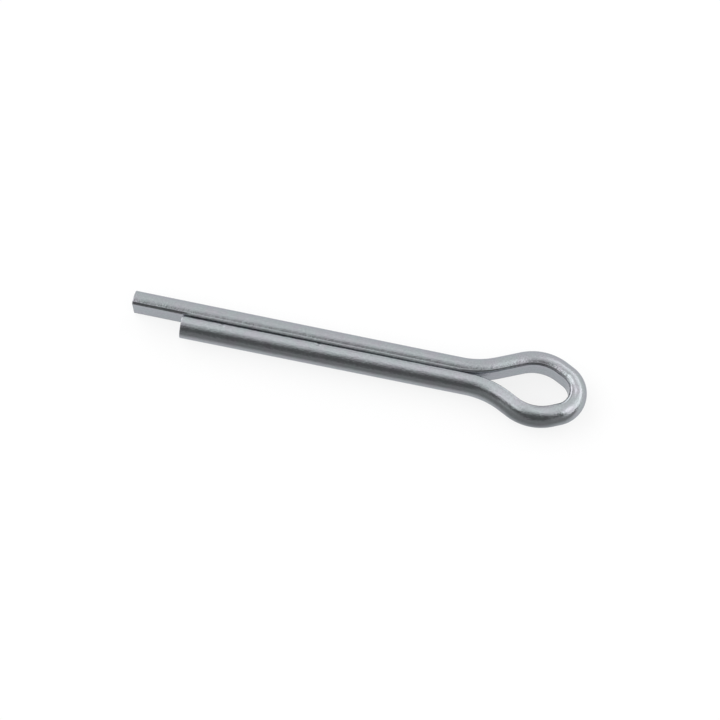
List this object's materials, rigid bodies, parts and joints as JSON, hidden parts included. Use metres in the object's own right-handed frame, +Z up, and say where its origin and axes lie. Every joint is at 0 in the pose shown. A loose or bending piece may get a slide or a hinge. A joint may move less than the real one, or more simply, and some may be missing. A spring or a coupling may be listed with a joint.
{
  "type": "cotter pin",
  "caption": "Split cotter pin of half-round wire folded flat side in, with a teardrop eye, a long prong and a short prong.",
  "frame": {"origin": "on the surface that the pin lies on, under the line of the shank, halfway along the pin", "axes": "+X along the shank towards the eye, +Y towards the long prong, +Z up off the surface, square to the eye's plane"},
  "size_m": [0.0376, 0.0062, 0.003],
  "materials": {
    "plated_steel": "bright zinc plate, satin"
  },
  "bodies": {
    "root": {"cotter_pin": "plated_steel"}
  },
  "joints": []
}
